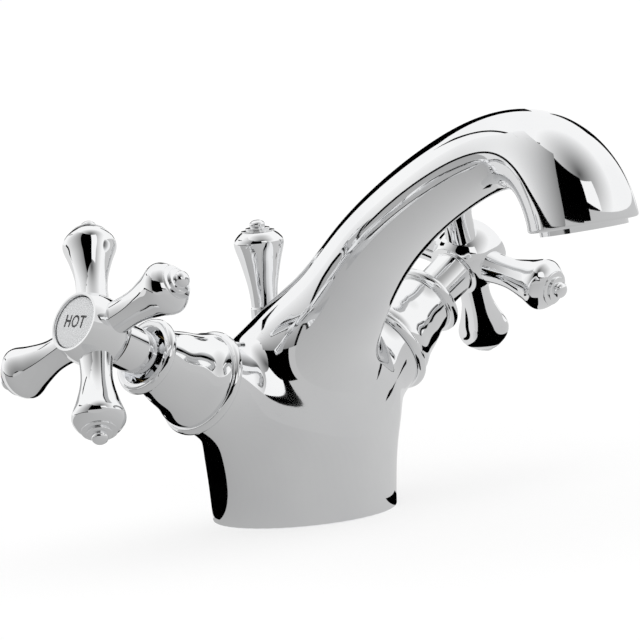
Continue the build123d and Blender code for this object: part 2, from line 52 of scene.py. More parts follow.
# Middle line of trunk and spout: y, z and outside radius, with the extra half-width of the trunk
STATIONS = np.array([
    (0.0, 0.0, 25.2, 0.0),
    (-0.4, 11.0, 25.6, 0.4),
    (-1.4, 23.0, 26.0, 1.6),
    (-4.8, 35.5, 23.3, 4.5),
    (-10.8, 46.5, 17.8, 2.5),
    (-19.5, 56.0, 14.2, 0.0),
    (-35.6, 72.0, 11.5, 0.0),
    (-51.7, 83.7, 10.5, 0.0),
    (-70.0, 93.4, 10.1, 0.0),
    (-85.0, 98.9, 10.0, 0.0),
    (-96.0, 100.2, 10.5, 0.0),
    (-105.0, 98.0, 11.9, 0.0),
    (-114.0, 89.8, 13.7, 0.0),
    (-117.1, 81.0, 14.3, 0.0),
])
NOZZLE_LEAN = math.radians(6.5)

# Net of the body: how far the middle line runs on and the surface goes past its ends, samples of
# the line, points worked on at once, box and pitch of the grid, and the angle of a sharp edge
OVERRUN = 8.0
END_CAP = 1.0
LINE_SAMPLES = 240
BATCH = 40000
NET_LOW = (-48.0, -136.0, -5.0)
NET_HIGH = (48.0, 30.0, 114.0)
NET_PITCH = 2.8
BODY_SHARP = 30.0

# Valve arms, shrouds and cross handles, measured along each valve's axis
VALVE_Y = -1.0
VALVE_Z = 22.9
VALVE_TILT = math.radians(29.0)
ARM_R = 13.2
ARM_FACE = 36.3
ARM_BLEND = 12.0
CHAMBER_R = 10.6
CHAMBER_FLOOR = 22.0
SIDES = {"hot": -1, "cold": 1}
REST_ANGLE = {"hot": math.radians(28.0), "cold": math.radians(18.7)}

BEAD_R = 1.5
BACK_BEAD = (13.2, 37.9)
FRONT_BEAD = (9.1, 58.6)
WAIST = [(13.25, 39.35), (13.3, 40.2), (11.8, 44.6), (10.5, 49.6), (9.3, 54.0), (8.95, 57.2)]
MOUTH_R = 8.2
THROAT_R = 6.5
THROAT_T = 52.1
SHROUD_WALL = 1.3

SKIRT_R = 6.3
SKIRT_BORE = 5.6
SKIRT_T = 57.2
SKIRT_FLOOR_T = 68.5
HUB_BACK_T = 71.5
HUB_CORNER = (7.8, 71.8)
HUB_SWELL = [(8.2, 72.5), (9.3, 75.1), (9.7, 78.5), (9.35, 82.0), (8.2, 85.5)]
RECESS_R = 7.4
RECESS_T = 83.4
BUTTON_R = 7.15
BUTTON_TOP = 85.1
BUTTON_CROWN = 0.25
BUTTON_EDGE = 0.4
CROWN_STEPS = 12
LETTER_SIZE = 4.8
LETTER_NARROW = 0.76
LETTER_BOLD = 0.05
LETTER_DEPTH = 0.12
LETTER_RISE = 0.04
LETTER_SPACE = 1.08
LETTER_STEPS = 4
CROSS_T = 78.0
GRIPS = 4
ARM_SEAT = 8.5
GRIP_ROOT_R = 4.5
GRIP_NARROW = (4.3, 16.0)
GRIP_WIDEST = (7.2, 26.7)
GRIP_TIP = 34.4

# Swelling stem and domed, stepped end of grips and lift knob, as shares (out, along): from the
# narrow place to the widest one, then from the widest one to the tip
FLARE = np.array([(0.03, 0.0), (0.4, 0.455), (0.64, 0.67), (0.886, 0.855)])
DOME = np.array([(1.0, 0.0), (0.975, 0.14), (0.9, 0.26), (0.79, 0.39), (0.67, 0.485)])
STEPS = np.array([
    (0.645, 0.492), (0.67, 0.51), (0.67, 0.545), (0.5, 0.57), (0.475, 0.578), (0.49, 0.595),
    (0.49, 0.66), (0.33, 0.69), (0.295, 0.70), (0.31, 0.72), (0.31, 0.8),
])
NUB = np.array([(0.31, 0.8), (0.223, 0.94), (0.0, 1.0)])
BULB_PITCH = 0.25
NUB_PITCH = 0.15

# Rounding of small corners, and faces round each kind of turned piece
EASE = 0.3
HUB_EASE = 0.4
FOOT_EASE = 0.2
SHROUD_FACETS = 160
HUB_FACETS = 128
KNOB_FACETS = 112
FACETS = 96

# Lift knob on its rod
ROD_Y = 8.5
POCKET_R = 4.8
BUSH_R = 4.5
BUSH_LOW = 42.0
BUSH_TOP = 53.0
KNOB_FOOT = [(3.55, 53.0), (3.95, 53.6), (3.95, 56.6), (3.65, 57.0)]
KNOB_NARROW = (3.75, 60.5)
KNOB_WIDEST = (6.85, 74.6)
KNOB_TIP = 80.8

# Base and nozzle openings of the body: rounded edges in steps of some degrees, and how far from the
# middle of each opening its cut reaches
EDGE = 0.8
EDGE_STEP = 18.0
BASE_REACH = 32.0
OUTLET_REACH = 19.0
ARM_REACH = 34.0
BASE_R = STATIONS[0][2]
GASKET_R = 22.3
GASKET_H = 2.0
CAVITY_R = 20.3
CAVITY_H = 10.0
OUTLET_BORE = 11.05
OUTLET_DEPTH = 7.5

# Studio cards: their distance, the height of their middle, their lowest edge and their grid
CARD_REACH = 2600.0
WINDOW_REACH = 1.02 * CARD_REACH
SHEET_END = 2700.0
CARD_MIDDLE = 60.0
CARD_LOWEST = 0.1
CARD_COLUMNS = 33
CARD_ROWS = 9
SHEET_LEVEL = 0.3
FLAG_LEVEL = 0.6
RAISED_LEVEL = 34.0

# Camera of the photograph, 640 x 640
CAM_TARGET = Vector((0.0, 0.0, 55.0)) * MM
CAM_BACK = Vector((-0.6547, -0.7466, 0.1182))
CAM_DISTANCE = 1324.3 * MM
CAM_ROLL = math.radians(5.43)
CAM_SHIFT = (0.006785, -0.001857)
CAM_LENS = 273.8
SENSOR = 36.0
CAM_CLIP = (0.01, 50.0)
CAM_AZIMUTH = math.atan2(CAM_BACK.y, CAM_BACK.x)


# Curves and surfaces

def spline(knots, values, first=None, last=None):
    """Cubic spline: solves for the slopes at the knots so that the second derivative is continuous,
    with given end slopes or none of it at the ends, and returns a function of the value and its
    first two derivatives. Outside the knots the curve runs on straight."""
    knots = np.asarray(knots, float)
    values = np.asarray(values, float)
    count = len(knots)
    step = np.diff(knots)
    rise = np.diff(values, axis=0) / step[:, None]
    matrix = np.zeros((count, count))
    right = np.zeros_like(values)
    for k in range(1, count - 1):
        matrix[k, k - 1:k + 2] = step[k], 2 * (step[k - 1] + step[k]), step[k - 1]
        right[k] = 3 * (step[k] * rise[k - 1] + step[k - 1] * rise[k])
    for row, near, slope, run in ((0, 1, first, rise[0]), (count - 1, count - 2, last, rise[-1])):
        if slope is None:
            matrix[row, row], matrix[row, near] = 2, 1
            right[row] = 3 * run
        else:
            matrix[row, row] = 1
            right[row] = slope
    slopes = np.linalg.solve(matrix, right)

    def at(u):
        """Value, slope and bend at each u, by the cubic of the span that it lies in."""
        inside = np.clip(u, knots[0], knots[-1])
        k = np.clip(np.searchsorted(knots, inside) - 1, 0, count - 2)
        h = step[k][:, None]
        s = ((inside - knots[k]) / step[k])[:, None]
        a, b = values[k], values[k + 1]
        ma, mb = slopes[k] * h, slopes[k + 1] * h
        c2 = 3 * (b - a) - 2 * ma - mb
        c3 = 2 * (a - b) + ma + mb
        value = a + ma * s + c2 * s ** 2 + c3 * s ** 3
        slope = (ma + 2 * c2 * s + 3 * c3 * s ** 2) / h
        bend = (2 * c2 + 6 * c3 * s) / h ** 2
        over = (u - inside)[:, None]
        return value + slope * over, slope, np.where(over == 0, bend, 0.0)

    return at


def chords(points):
    """Distance along a line of points, from its first one."""
    return np.concatenate([[0.0], np.cumsum(np.linalg.norm(np.diff(points, axis=0), axis=1))])


def smooth_line(points, pitch=0.3, first=None, last=None):
    """Smooth curve through a few points: a cubic spline over the chord length, at even steps."""
    points = np.asarray(points, float)
    along = chords(points)
    curve = spline(along, points, first, last)
    count = max(6, int(along[-1] / pitch))
    return curve(np.linspace(0.0, along[-1], count))[0]


def arc(centre, radius, start, end, pitch=6.0):
    """Circular arc from one angle to another, in degrees, with a point every few degrees."""
    count = max(3, int(abs(end - start) / pitch) + 1)
    a = np.radians(np.linspace(start, end, count))
    return np.stack([centre[0] + radius * np.cos(a), centre[1] + radius * np.sin(a)], axis=1)


def eased(points, radius, steps=4):
    """Line with every inner corner rounded: each corner becomes a parabola between two points that
    lie one radius before and after it, or half of the shorter side where that is less."""
    points = np.asarray(points, float)
    before, corner, after = points[:-2], points[1:-1], points[2:]
    to_before = before - corner
    to_after = after - corner
    long_before = np.linalg.norm(to_before, axis=1, keepdims=True)
    long_after = np.linalg.norm(to_after, axis=1, keepdims=True)
    cut = np.minimum(radius, np.minimum(long_before, long_after) * 0.45)
    start = corner + to_before / long_before * cut
    end = corner + to_after / long_after * cut
    s = np.linspace(0, 1, steps + 1)[None, :, None]
    start, corner, end = start[:, None], corner[:, None], end[:, None]
    bends = (1 - s) ** 2 * start + 2 * s * (1 - s) * corner + s ** 2 * end
    return np.concatenate([points[:1], bends.reshape(-1, 2), points[-1:]])


def joined(*lines):
    """One profile from several lines, with points that repeat taken out."""
    points = np.concatenate([np.asarray(line, float) for line in lines])
    far = np.linalg.norm(np.diff(points, axis=0), axis=1) > 1e-4
    return points[np.concatenate([[True], far])]


def axes_at(origin, x_dir, z_dir):
    """Place of a piece: its origin and its three axes, the second from the other two."""
    x_dir, z_dir = np.asarray(x_dir, float), np.asarray(z_dir, float)
    return np.asarray(origin, float), x_dir, np.cross(z_dir, x_dir), z_dir


def put(place, a, b, c):
    """Points a, b, c along the axes of a place, as points of the frame."""
    origin, x_dir, y_dir, z_dir = place
    return origin + a[..., None] * x_dir + b[..., None] * y_dir + c[..., None] * z_dir


def valve_place(side):
    """Axis of a valve: it leaves the trunk sideways and rises by the tilt."""
    z_dir = (side * math.cos(VALVE_TILT), 0.0, math.sin(VALVE_TILT))
    return axes_at((0.0, VALVE_Y, VALVE_Z), (0.0, -1.0, 0.0), z_dir)


def arm_place(side, angle):
    """Axis of one grip of a cross handle, square to the valve's axis at the given angle."""
    origin, x_dir, y_dir, z_dir = valve_place(side)
    out = x_dir * math.cos(angle) + y_dir * math.sin(angle)
    return axes_at(origin + CROSS_T * z_dir, z_dir, out)


def rod_place():
    """Axis of the lift rod, upright behind the spout, from the deck."""
    return axes_at((0.0, ROD_Y, 0.0), (1.0, 0.0, 0.0), (0.0, 0.0, 1.0))


def nozzle_place():
    """Axis of the outlet, from the middle of its rim up into the nozzle."""
    up = (0.0, math.sin(NOZZLE_LEAN), math.cos(NOZZLE_LEAN))
    return axes_at((0.0, STATIONS[-1][0], STATIONS[-1][1]), (1.0, 0.0, 0.0), up)


def outward(points, quads, tris):
    """Faces turned so that the shell's signed volume is positive."""
    def volume(a, b, c):
        """Six times the volume between the origin and the triangles of three point lists."""
        return np.einsum("ij,ij->", points[a], np.cross(points[b], points[c]))

    total = volume(*quads[:, :3].T) + volume(*quads[:, [0, 2, 3]].T) if len(quads) else 0.0
    total += volume(*tris.T) if len(tris) else 0.0
    return (quads, tris) if total > 0 else (quads[:, ::-1], tris[:, ::-1])


def turned(profile, place, around=FACETS):
    """Turned shape: each point (radius, height) of the profile goes round the axis, to
    radius * (cos a, sin a) across it and height along it. A point on the axis is a pole, and a
    profile with no pole is a closed ring. Returns points, quads and tris."""
    profile = np.asarray(profile, float)
    on_axis = profile[:, 0] < 1e-6
    rings = profile[~on_axis]
    a = np.linspace(0.0, 2 * math.pi, around, endpoint=False)
    radius, height = rings[:, :1], rings[:, 1:]
    points = put(place, radius * np.cos(a), radius * np.sin(a), height + 0 * a)
    points = points.reshape(-1, 3)
    rows = len(rings)
    low = np.arange(rows - 1 if on_axis.any() else rows)
    one = np.arange(around)
    two = (one + 1) % around
    high = (low + 1) % rows
    quads = np.stack([
        low[:, None] * around + one,
        low[:, None] * around + two,
        high[:, None] * around + two,
        high[:, None] * around + one,
    ], axis=-1).reshape(-1, 4)
    tris = np.zeros((0, 3), int)
    for row, pole in ((0, on_axis[0]), (rows - 1, on_axis[-1])):
        if pole:
            end = profile[0 if row == 0 else -1]
            tip = len(points)
            points = np.concatenate([points, put(place, np.zeros(1), np.zeros(1), end[1:])])
            fan = np.stack([row * around + one, row * around + two, np.full(around, tip)], axis=1)
            tris = np.concatenate([tris, fan[:, ::-1] if row == 0 else fan])
    quads, tris = outward(points, quads, tris)
    return points, quads, tris


def mesh_of(name, points, quads, tris, sharp=40.0):
    """Mesh from arrays of points (mm) and faces, smooth but for edges over the sharp angle."""
    mesh = bpy.data.meshes.new(name)
    quads = np.asarray(quads, int).reshape(-1, 4)
    tris = np.asarray(tris, int).reshape(-1, 3)
    corners = np.concatenate([quads.ravel(), tris.ravel()]).astype(np.int32)
    starts = np.concatenate([4 * np.arange(len(quads)), 4 * len(quads) + 3 * np.arange(len(tris))])
    mesh.vertices.add(len(points))
    mesh.vertices.foreach_set("co", (np.asarray(points) * MM).astype(np.float32).ravel())
    mesh.loops.add(len(corners))
    mesh.loops.foreach_set("vertex_index", corners)
    mesh.polygons.add(len(starts))
    mesh.polygons.foreach_set("loop_start", starts.astype(np.int32))
    mesh.update(calc_edges=True)
    mesh.validate()
    mesh.polygons.foreach_set("use_smooth", np.ones(len(mesh.polygons), bool))
    mesh.set_sharp_from_angle(angle=math.radians(sharp))
    return mesh


def add_piece(name, mesh, body, material, nodes=()):
    """Object for a mesh: it rides on a body, takes the slot's finish and stands for CAD nodes."""
    piece = bpy.data.objects.new(name, mesh)
    bpy.context.scene.collection.objects.link(piece)
    mesh.materials.clear()
    mesh.materials.append(material)
    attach(piece, body)
    if nodes:
        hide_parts(*nodes)
    return piece


# Finishes

# How much finer the patches of gloss are than those of tone, and the part of their noise in use
GLOSS_FINER = 2.3
GLOSS_SPAN = (0.3, 0.7)


def new_material(name):
    """Empty node material with its Principled shader and Object coordinates."""
    material = bpy.data.materials.new(name)
    material.use_nodes = True
    tree = material.node_tree
    shader = tree.nodes["Principled BSDF"]
    place = tree.nodes.new("ShaderNodeTexCoord").outputs["Object"]
    return material, tree, shader, place


def noise(tree, place, scale, detail=3.0, roughness=0.5):
    """Noise over Object coordinates; the scale is in features per metre."""
    node = tree.nodes.new("ShaderNodeTexNoise")
    node.inputs["Scale"].default_value = scale
    node.inputs["Detail"].default_value = detail
    node.inputs["Roughness"].default_value = roughness
    tree.links.new(place, node.inputs["Vector"])
    return node.outputs["Fac"]


def ramp(tree, factor, dark, light, low=0.35, high=0.65):
    """Colour that goes from dark to light as the factor goes from low to high."""
    node = tree.nodes.new("ShaderNodeValToRGB")
    node.color_ramp.elements[0].position = low
    node.color_ramp.elements[1].position = high
    node.color_ramp.elements[0].color = (*dark, 1.0)
    node.color_ramp.elements[1].color = (*light, 1.0)
    tree.links.new(factor, node.inputs["Fac"])
    return node.outputs["Color"]


def mapped(tree, value, start, end):
    """Value that runs between two pairs (value before, value after), and is level beyond them."""
    node = tree.nodes.new("ShaderNodeMapRange")
    node.inputs["From Min"].default_value, node.inputs["To Min"].default_value = start
    node.inputs["From Max"].default_value, node.inputs["To Max"].default_value = end
    tree.links.new(value, node.inputs["Value"])
    return node.outputs["Result"]


def bump(tree, shader, factor, strength, depth):
    """Fine relief on the shader's normal, depth in millimetres."""
    node = tree.nodes.new("ShaderNodeBump")
    node.inputs["Strength"].default_value = strength
    node.inputs["Distance"].default_value = depth * MM
    tree.links.new(factor, node.inputs["Height"])
    tree.links.new(node.outputs["Normal"], shader.inputs["Normal"])


def finish_of(name, dark, light, rough, grain, metallic=0.0, relief=None):
    """Finish with two tones and two gloss levels that drift over the surface, the gloss in finer
    patches, and fine relief given by its scale, strength and depth."""
    material, tree, shader, place = new_material(name)
    drift = noise(tree, place, grain, 4.0)
    tree.links.new(ramp(tree, drift, dark, light), shader.inputs["Base Color"])
    gloss = noise(tree, place, grain * GLOSS_FINER)
    rough = mapped(tree, gloss, (GLOSS_SPAN[0], rough[0]), (GLOSS_SPAN[1], rough[1]))
    tree.links.new(rough, shader.inputs["Roughness"])
    shader.inputs["Metallic"].default_value = metallic
    if relief:
        bump(tree, shader, noise(tree, place, relief[0], 4.0, 0.6), relief[1], relief[2])
    return material


CHROME = finish_of("chrome_plate", (0.88, 0.885, 0.895), (0.915, 0.92, 0.925), (0.02, 0.05), 45.0,
                   1.0)
BRASS = finish_of("turned_brass", (0.62, 0.42, 0.16), (0.76, 0.55, 0.24), (0.24, 0.38), 240.0, 1.0,
                  (900.0, 0.15, 0.05))
ZINC = finish_of("zinc_steel", (0.52, 0.53, 0.53), (0.68, 0.69, 0.70), (0.32, 0.5), 160.0, 1.0,
                 (700.0, 0.2, 0.05))
STAINLESS = finish_of("stainless", (0.56, 0.55, 0.53), (0.68, 0.67, 0.65), (0.22, 0.36), 300.0, 1.0,
                      (1200.0, 0.1, 0.03))
RUBBER = finish_of("black_rubber", (0.016, 0.016, 0.017), (0.035, 0.035, 0.036), (0.6, 0.8), 220.0,
                   0.0, (1500.0, 0.25, 0.05))
FIBRE = finish_of("red_fibre", (0.26, 0.06, 0.04), (0.42, 0.12, 0.08), (0.65, 0.85), 420.0, 0.0,
                  (1800.0, 0.3, 0.06))
NYLON = finish_of("white_plastic", (0.74, 0.74, 0.72), (0.82, 0.82, 0.80), (0.32, 0.45), 120.0, 0.0,
                  (900.0, 0.08, 0.03))
CERAMIC = finish_of("valve_ceramic", (0.80, 0.78, 0.72), (0.88, 0.86, 0.81), (0.12, 0.22), 180.0)
ENAMEL = finish_of("index_enamel", (0.82, 0.83, 0.84), (0.87, 0.88, 0.89), (0.16, 0.24), 150.0, 0.0,
                   (500.0, 0.05, 0.02))
LETTER = finish_of("letter_enamel", (0.02, 0.02, 0.022), (0.045, 0.045, 0.048), (0.3, 0.4), 400.0)
FINISHES = {
    "chrome_plate": CHROME,
    "brass": BRASS,
    "zinc_steel": ZINC,
    "stainless": STAINLESS,
    "rubber": RUBBER,
    "fibre": FIBRE,
    "white_plastic": NYLON,
    "ceramic": CERAMIC,
    "index_enamel": ENAMEL,
}
for subpart in frame["record"]["subparts"]:
    node = frame["nodes"][subpart["node"]]
    node.data.materials.clear()
    node.data.materials.append(FINISHES[subpart["material_slot"]])


# Body

def body_field():
    """Signed distance of the body's outside, as a function of points. Trunk and spout: the nearest
    place on the middle line, found among even samples and then by Newton's method, and the distance
    from it less the oval section's radius there. Each valve arm is a round bar from the trunk's
    middle. The three are joined by a cubic smooth minimum, which rounds the crooks between them."""
    along = chords(STATIONS[:, :2])
    end_slope = (-math.sin(NOZZLE_LEAN), -math.cos(NOZZLE_LEAN))
    line = spline(along, STATIONS[:, :2], (0.0, 1.0), end_slope)
    girth = spline(along, STATIONS[:, 2:])
    samples = np.linspace(-OVERRUN, along[-1] + OVERRUN, LINE_SAMPLES)
    pitch = samples[1] - samples[0]
    sample_points = line(samples)[0]
    sample_squares = (sample_points ** 2).sum(1)
    arms = [valve_place(side) for side in SIDES.values()]

    def nearest(flat):
        """Parameter of the middle line nearest to each point of its plane."""
        gap = sample_squares[None, :] - 2 * flat @ sample_points.T
        u = samples[gap.argmin(1)]
        seed = u.copy()
        for _ in range(4):
            value, slope, bend = line(u)
            away = value - flat
            pull = (away * slope).sum(1)
            turn = (slope * slope).sum(1) + (away * bend).sum(1)
            u = np.clip(u - pull / np.maximum(turn, 0.2), seed - pitch, seed + pitch)
        return u

    def distance(points):
        """Signed distance of each point, less than nought inside."""
        flat = points[:, 1:]
        batches = np.array_split(flat, len(flat) // BATCH + 1)
        u = np.concatenate([nearest(part) for part in batches])
        value, slope, _ = line(u)
        unit = slope / np.linalg.norm(slope, axis=1, keepdims=True)
        away = flat - value
        across = away[:, 0] * unit[:, 1] - away[:, 1] * unit[:, 0]
        section = girth(np.clip(u, along[0], along[-1]))[0]
        radius, extra = section[:, 0], section[:, 1]
        reach = np.hypot(across, points[:, 0])
        oval = np.hypot(across / radius, points[:, 0] / (radius + extra))
        gap = np.where(oval > 1e-6, reach * (1 - 1 / np.maximum(oval, 1e-6)), -radius)
        past = np.where((u < along[0]) | (u > along[-1]), np.abs((away * unit).sum(1)), 0.0)
        gap = np.maximum(gap, past - END_CAP)
        for origin, _, _, z_dir in arms:
            offset = points - origin
            t = np.maximum(offset @ z_dir, 0.0)
            bar = np.linalg.norm(offset - t[:, None] * z_dir, axis=1) - ARM_R
            near = np.maximum(ARM_BLEND - np.abs(gap - bar), 0.0) / ARM_BLEND
            gap = np.minimum(gap, bar) - near ** 3 * ARM_BLEND / 6
        return gap

    return distance


def slope_of(distance, points, step=0.05):
    """Gradient of a distance by central differences."""
    shift = np.eye(3) * step
    return np.stack([distance(points + s) - distance(points - s) for s in shift], 1) / (2 * step)


def drawn_to(distance, points, times=2):
    """Points moved on to the surface where the distance is nought, by Newton steps."""
    for _ in range(times):
        slope = slope_of(distance, points)
        step = np.clip(distance(points) / np.maximum((slope ** 2).sum(1), 0.1), -1.0, 1.0)
        points = points - step[:, None] * slope
    return points


def net_of(distance, low, high, pitch):
    """Net of quads over the surface: one point in each grid cell that the surface crosses, at the
    middle of the crossings of the cell's edges, and one quad round each crossed grid edge."""
    counts = [int((b - a) / pitch) + 2 for a, b in zip(low, high)]
    lines = [a + pitch * np.arange(n) for a, n in zip(low, counts)]
    grid = np.stack(np.meshgrid(*lines, indexing="ij"), -1)
    field = distance(grid.reshape(-1, 3)).reshape(counts)
    cells = tuple(n - 1 for n in counts)
    total = np.zeros(cells + (3,))
    hits = np.zeros(cells)
    inside = field < 0
    for axis in range(3):
        a, b = (np.take(field, range(i, counts[axis] - 1 + i), axis) for i in (0, 1))
        crossed = (a < 0) != (b < 0)
        share = np.where(crossed, a / np.where(crossed, a - b, 1.0), 0.0)
        start = np.take(grid, range(counts[axis] - 1), axis)
        spot = start + share[..., None] * pitch * np.eye(3)[axis]
        others = [k for k in range(3) if k != axis]
        for i in (0, 1):
            for j in (0, 1):
                cut = [slice(None)] * 3
                cut[others[0]] = slice(i, cells[others[0]] + i)
                cut[others[1]] = slice(j, cells[others[1]] + j)
                total += np.where(crossed[tuple(cut)][..., None], spot[tuple(cut)], 0.0)
                hits += crossed[tuple(cut)]
    used = hits > 0
    index = np.full(cells, -1)
    index[used] = np.arange(used.sum())
    points = total[used] / hits[used][:, None]
    quads = []
    for axis in range(3):
        one, two = [(1, 2), (2, 0), (0, 1)][axis]
        first = np.take(inside, range(counts[axis] - 1), axis)
        second = np.take(inside, range(1, counts[axis]), axis)
        spot = np.argwhere(first != second)
        spot = spot[(spot[:, one] > 0) & (spot[:, two] > 0)]
        spot = spot[(spot[:, one] < cells[one]) & (spot[:, two] < cells[two])]
        leaves = first[tuple(spot.T)]
        ring = []
        for i, j in ((-1, -1), (0, -1), (0, 0), (-1, 0)):
            cell = spot.copy()
            cell[:, one] += i
            cell[:, two] += j
            ring.append(index[tuple(cell.T)])
        ring = np.stack(ring, 1)
        quads.append(np.where(leaves[:, None], ring, ring[:, ::-1]))
    return points, np.concatenate(quads)


def edge_list(quads):
    """Edges of the quads, each once, and the edge of every quad side."""
    sides = np.stack([quads, np.roll(quads, -1, axis=1)], -1).reshape(-1, 2)
    edges, side_edge = np.unique(np.sort(sides, axis=1), axis=0, return_inverse=True)
    return edges, side_edge.reshape(-1, 4)


def relaxed(points, quads, distance, times=6):
    """Net with evener quads: each point goes half of the way to the mean of its neighbours and back
    on to the surface."""
    edges, _ = edge_list(quads)
    for _ in range(times):
        total = np.zeros_like(points)
        count = np.zeros(len(points))
        for a, b in (edges.T, edges.T[::-1]):
            np.add.at(total, a, points[b])
            np.add.at(count, a, 1)
        points = drawn_to(distance, 0.5 * points + 0.5 * total / count[:, None], 1)
    return points


def divided(points, quads):
    """Each quad split in four, with new points at the middles of its edges and of itself."""
    edges, side_edge = edge_list(quads)
    middles = points[edges].mean(1)
    centres = points[quads].mean(1)
    edge_id = len(points) + side_edge
    centre_id = len(points) + len(edges) + np.arange(len(quads))
    parts = [
        np.stack([quads[:, k], edge_id[:, k], centre_id, edge_id[:, k - 1]], 1) for k in range(4)
    ]
    return np.concatenate([points, middles, centres]), np.concatenate(parts)


def rim_loop(points, polygons, place, height, near=0.02):
    """Open edge of a shell on one plane: its point numbers in order of the angle round the axis."""
    sides = [np.stack([p, np.roll(p, -1, axis=1)], -1).reshape(-1, 2) for p in polygons]
    sides = np.concatenate(sides)
    edges, count = np.unique(np.sort(sides, axis=1), axis=0, return_counts=True)
    rim = np.unique(edges[count == 1])
    offset = points[rim] - place[0]
    rim = rim[np.abs(offset @ place[3] - height) < near]
    offset = points[rim] - place[0]
    angle = np.arctan2(offset @ place[2], offset @ place[1])
    order = np.argsort(angle)
    return rim[order], angle[order]


def lined(points, quads, tris, place, height, profile):
    """Shell with an opening lined: rings at the angles of the opening's own points follow a profile
    of (radius, height) from its edge inwards, and the last ring closes on the axis."""
    rim, angle = rim_loop(points, [quads, tris], place, height)
    count = len(rim)
    rings = [rim]
    for radius, level in profile:
        levels = np.full(count, float(level))
        ring = put(place, radius * np.cos(angle), radius * np.sin(angle), levels)
        rings.append(len(points) + np.arange(count))
        points = np.concatenate([points, ring])
    tip = len(points)
    points = np.concatenate([points, put(place, np.zeros(1), np.zeros(1), levels[:1])])
    rows = np.stack(rings)
    after = np.roll(rows, -1, axis=1)
    wall = np.stack([rows[:-1], rows[1:], after[1:], after[:-1]], -1).reshape(-1, 4)
    fan = np.stack([rows[-1], np.full(count, tip), after[-1]], 1)
    return points, np.concatenate([quads, wall]), np.concatenate([tris, fan])


def shell_arrays(mesh):
    """Points (mm), quads and tris of a mesh with no larger faces."""
    points = np.empty(len(mesh.vertices) * 3, np.float32)
    mesh.vertices.foreach_get("co", points)
    corners = np.empty(len(mesh.loops), np.int32)
    mesh.loops.foreach_get("vertex_index", corners)
    starts = np.empty(len(mesh.polygons), np.int32)
    totals = np.empty(len(mesh.polygons), np.int32)
    mesh.polygons.foreach_get("loop_start", starts)
    mesh.polygons.foreach_get("loop_total", totals)
    quads = corners[starts[totals == 4][:, None] + np.arange(4)]
    tris = corners[starts[totals == 3][:, None] + np.arange(3)]
    return points.reshape(-1, 3).astype(float) / MM, quads, tris


def trimmed(points, quads, planes):
    """Shell cut off at planes, each given by a point, the direction that is cut away and the reach
    of the cut: only faces whose first corner lies within it from that point are cut."""
    mesh = mesh_of("trim", points, quads, np.zeros((0, 3), int))
    work = bmesh.new()
    work.from_mesh(mesh)
    work.faces.ensure_lookup_table()
    corner = points[quads[:, 0]]
    within = [np.linalg.norm(corner - spot, axis=1) < reach for spot, _, reach in planes]
    groups = [[work.faces[k] for k in np.flatnonzero(near).tolist()] for near in within]
    for (spot, away, _), faces in zip(planes, groups):
        edges = {e for f in faces for e in f.edges}
        verts = {v for f in faces for v in f.verts}
        bmesh.ops.bisect_plane(
            work, geom=[*verts, *edges, *faces], dist=1e-6, plane_co=Vector(spot) * MM,
            plane_no=Vector(away), clear_outer=True,
        )
    large = [face for face in work.faces if len(face.verts) > 4]
    bmesh.ops.triangulate(work, faces=large)
    work.to_mesh(mesh)
    work.free()
    arrays = shell_arrays(mesh)
    bpy.data.meshes.remove(mesh)
    return arrays


def bored(mesh, cutter):
    """Mesh less a cutter, by an exact boolean, with its cut edges sharp."""
    pair = [bpy.data.objects.new(part.name, part) for part in (mesh, cutter)]
    for part in pair:
        bpy.context.scene.collection.objects.link(part)
    cut = pair[0].modifiers.new("cut", "BOOLEAN")
    cut.operation = "DIFFERENCE"
    cut.solver = "EXACT"
    cut.object = pair[1]
    result = pair[0].evaluated_get(bpy.context.evaluated_depsgraph_get())
    made = bpy.data.meshes.new_from_object(result)
    for part in pair:
        bpy.data.objects.remove(part)
    made.polygons.foreach_set("use_smooth", np.ones(len(made.polygons), bool))
    made.set_sharp_from_angle(angle=math.radians(BODY_SHARP))
    return made


def rounded_edge(radius):
    """Edge of an opening: a quarter circle from its first step inwards to the level rim."""
    return [*arc((radius - EDGE, EDGE), EDGE, -EDGE_STEP, -90, EDGE_STEP)]


